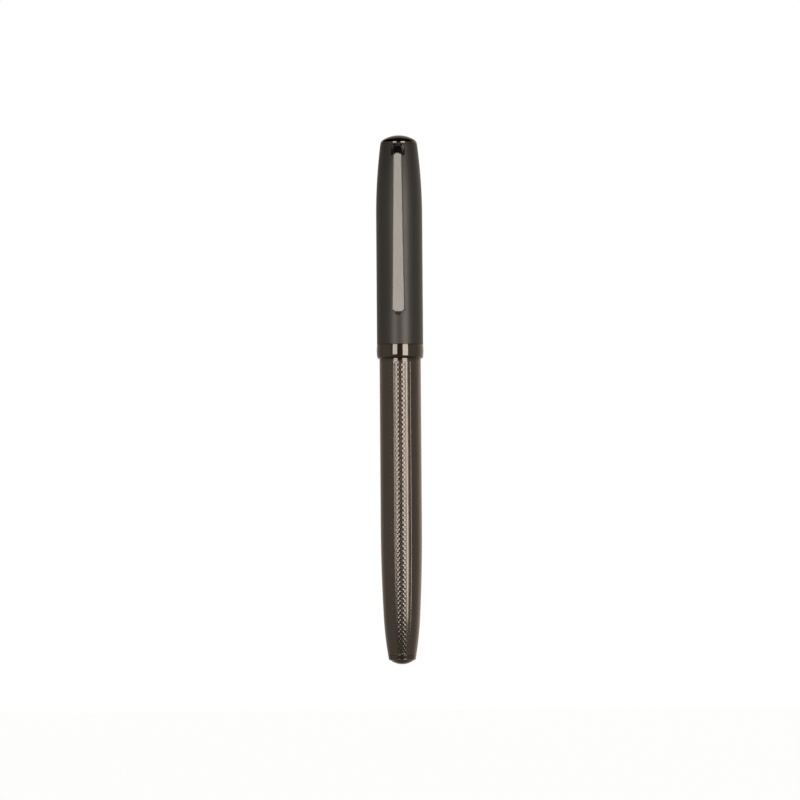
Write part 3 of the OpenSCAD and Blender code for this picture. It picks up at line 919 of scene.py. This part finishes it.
eye_low, eye_high = PIVOT_Z + 0.05 * mm, PIVOT_Z + 0.75 * mm
eye_bore, eye_r = 1.05 * mm, 1.9 * mm
eye_section = [(eye_bore, eye_low), (eye_r, eye_low), (eye_r, eye_high), (eye_bore, eye_high)]
eye = lathe("clip_eye", eye_section, MATERIALS["clip_satin"], segments=64)
finish_piece(eye, "clip", "clip_satin", "clip")

# ---------------------------------------------------------------- screw thread of the section

def threaded_core():
    """The section's core with a real helical thread, which runs out at both ends."""
    low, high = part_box("section_core")
    crest, depth, pitch = high.x, 0.35 * mm, 0.75 * mm
    root = crest - depth
    thread_top = -1.2 * mm
    neck, core_r, shoulder, bore = 3.72 * mm, 3.75 * mm, 0.5 * mm, 3.2 * mm
    segments, per_turn = 96, 12
    run_out_steps = 0.8 * per_turn
    steps = int(round((thread_top - low.z) / pitch * per_turn))
    rows = []
    for j in range(steps + 1):
        z = low.z + (thread_top - low.z) * j / steps
        row = []
        for i in range(segments):
            phase = (z - low.z) / pitch - i / segments
            tooth = 1 - abs(2 * (phase % 1.0) - 1)
            run_out = min(1.0, j / run_out_steps, (steps - j) / run_out_steps)
            row.append((root + depth * min(1.0, 1.25 * tooth) * run_out, z))
        rows.append(row)
    plain = [(neck, thread_top), (neck, shoulder), (core_r, shoulder)]
    plain += [(core_r, high.z), (bore, high.z), (bore, low.z)]
    rows += [[point] * segments for point in plain]
    vertices, faces = [], []
    for row in rows:
        for i, (r, z) in enumerate(row):
            a = 2 * math.pi * i / segments
            vertices.append((r * math.cos(a), r * math.sin(a), z))
    for j in range(len(rows)):
        k = (j + 1) % len(rows)
        for i in range(segments):
            n = (i + 1) % segments
            faces.append([j * segments + i, j * segments + n, k * segments + n, k * segments + i])
    return new_object("threaded_core", vertices, faces, MATERIALS["brass"], 28)


finish_piece(threaded_core(), "section", "brass", "section_core")

# ---------------------------------------------------------------- floor, light and camera

# The pale floor lies this far below the pen, which floats in front of the camera
FLOOR_DROP = 0.06
FLOOR_SIZE = 6.0
# Camera: slightly to the right of the clip's middle and slightly below the pen's middle
CAMERA_AZIMUTH = 2.7
CAMERA_ELEVATION = -2.8
CAMERA_DISTANCE = 1.42
CAMERA_FRAME = 0.2085
CAMERA_LEAN = 0.41
CAMERA_TARGET_H = 68.8 * mm
CAMERA_TARGET_RIGHT = -0.12 * mm
SENSOR_MM = 36
# Glow of the room by how far a direction points to the bright backdrop, from -1 away from it to 1 at it
BACKDROP_TURN = -10
ROOM_GLOW = (
    (-1.0, 0.03),
    (-0.9, 0.05),
    (-0.75, 0.085),
    (0.2, 0.085),
    (0.34, 0.105),
    (0.48, 0.135),
    (0.62, 0.18),
    (0.76, 0.26),
    (0.9, 0.4),
    (1.0, 0.6),
)
ROOM_TINT = (1.0, 0.94, 0.855)
# Tall soft lights: degrees to the right of the camera, width in degrees, radiance, lower and upper edge
SOFTBOXES = {
    "front_left": (-25.5, 22.0, 0.92, -0.105, 0.23),
    "front_right": (26.0, 26.4, 1.02, -0.15, 0.23),
}
SOFTBOX_DISTANCE = 0.8


def floor():
    """A pale floor that glows evenly, so that it has no shadow of the room."""
    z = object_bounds()[0].z - FLOOR_DROP
    half = FLOOR_SIZE
    color = (0.93, 0.93, 0.925, 1)
    material = bpy.data.materials.new("pale_floor")
    material.use_nodes = True
    surface = material.node_tree.nodes["Principled BSDF"]
    surface.inputs["Base Color"].default_value = color
    surface.inputs["Roughness"].default_value = 0.9
    surface.inputs["Emission Color"].default_value = color
    surface.inputs["Emission Strength"].default_value = 1.0
    corners = [(-half, -half, z), (half, -half, z), (half, half, z), (-half, half, z)]
    plane = new_object("floor", corners, [(0, 1, 2, 3)], material)
    plane.visible_glossy = False
    plane.visible_diffuse = False
    plane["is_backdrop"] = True


def softbox(name, turn_deg, width_deg, radiance, low, high):
    """A tall soft light that faces the pen's axis."""
    a = math.radians(CAMERA_AZIMUTH + turn_deg)
    width = 2 * SOFTBOX_DISTANCE * math.tan(math.radians(width_deg) / 2)
    height = high - low
    light = bpy.data.lights.new(name, "AREA")
    light.shape = "RECTANGLE"
    light.size, light.size_y = width, height
    light.energy = radiance * math.pi * width * height
    lamp = bpy.data.objects.new(name, light)
    away = Vector((math.sin(a), -math.cos(a), 0))
    lamp.location = away * SOFTBOX_DISTANCE + Vector((0, 0, (low + high) / 2))
    lamp.rotation_euler = away.to_track_quat("Z", "Y").to_euler()
    lamp.visible_camera = False
    bpy.context.scene.collection.objects.link(lamp)


def room():
    """A world that is white to the camera, and to the pen a dim room with a bright backdrop."""
    world = bpy.data.worlds.new("studio")
    bpy.context.scene.world = world
    world.use_nodes = True
    tree = NodeTree(world.node_tree)
    place = tree.add("ShaderNodeTexCoord").outputs["Generated"]

    def along(direction):
        node = tree.add("ShaderNodeVectorMath", operation="DOT_PRODUCT")
        tree.join(place, node, 0)
        node.inputs[1].default_value = direction
        return node.outputs["Value"]

    def eased(value, low, high, out_low, out_high):
        return tree.mapped(value, low, high, out_low, out_high, interpolation_type="SMOOTHSTEP")

    back = math.radians(CAMERA_AZIMUTH + BACKDROP_TURN)
    behind = along((-math.sin(back), math.cos(back), 0))
    height = along((0, 0, 1))
    stops = [((position + 1) / 2, (value, value, value)) for position, value in ROOM_GLOW]
    glow = tree.ramp(tree.mapped(behind, -1.0, 1.0, 0.0, 1.0), stops)
    # The room is dimmer towards the floor and the ceiling, and almost dark high up in front
    below = eased(height, -0.9, -0.2, 0.45, 1.0)
    above = eased(height, 0.2, 0.9, 1.0, 0.5)
    in_front = eased(behind, 0.35, 0.7, 1.0, 0.0)
    front_top = tree.maths("MULTIPLY", eased(height, 0.12, 0.45, 0.0, 1.0), in_front)
    strength = tree.maths("MULTIPLY", glow, tree.maths("MULTIPLY", below, above))
    strength = tree.maths("MULTIPLY", strength, eased(front_top, 0.0, 1.0, 1.0, 0.1))
    dim = tree.nodes["Background"]
    dim.inputs["Color"].default_value = (*ROOM_TINT, 1)
    tree.join(strength, dim, "Strength")
    white = tree.add("ShaderNodeBackground")
    white.inputs["Color"].default_value = (1, 1, 1, 1)
    mix = tree.add("ShaderNodeMixShader")
    tree.join(tree.add("ShaderNodeLightPath").outputs["Is Camera Ray"], mix, "Fac")
    tree.join(dim.outputs[0], mix, 1)
    tree.join(white.outputs[0], mix, 2)
    tree.join(mix.outputs[0], tree.nodes["World Output"], "Surface")


def camera():
    """The photo's view: from the front, almost level, with the pen leaning a little."""
    data = bpy.data.cameras.new("camera")
    data.sensor_width = SENSOR_MM
    data.lens = SENSOR_MM * CAMERA_DISTANCE / CAMERA_FRAME
    data.clip_end = 20
    eye_point = bpy.data.objects.new("camera", data)
    a, e = math.radians(CAMERA_AZIMUTH), math.radians(CAMERA_ELEVATION)
    right = Vector((math.cos(a), math.sin(a), 0))
    back = Vector((math.sin(a) * math.cos(e), -math.cos(a) * math.cos(e), math.sin(e)))
    up = back.cross(right)
    target = Vector((0, 0, TAIL_Z + CAMERA_TARGET_H)) + right * CAMERA_TARGET_RIGHT
    eye_point.location = target + back * CAMERA_DISTANCE
    lean = math.radians(CAMERA_LEAN)
    leaned_right = right * math.cos(lean) - up * math.sin(lean)
    leaned_up = up * math.cos(lean) + right * math.sin(lean)
    basis = [(leaned_right[i], leaned_up[i], back[i]) for i in range(3)]
    eye_point.rotation_mode = "QUATERNION"
    eye_point.rotation_quaternion = Matrix(basis).to_quaternion()
    bpy.context.scene.collection.objects.link(eye_point)
    bpy.context.scene.camera = eye_point


floor()
room()
for name, settings in SOFTBOXES.items():
    softbox(name, *settings)
camera()
bpy.context.scene.view_settings.view_transform = "Standard"
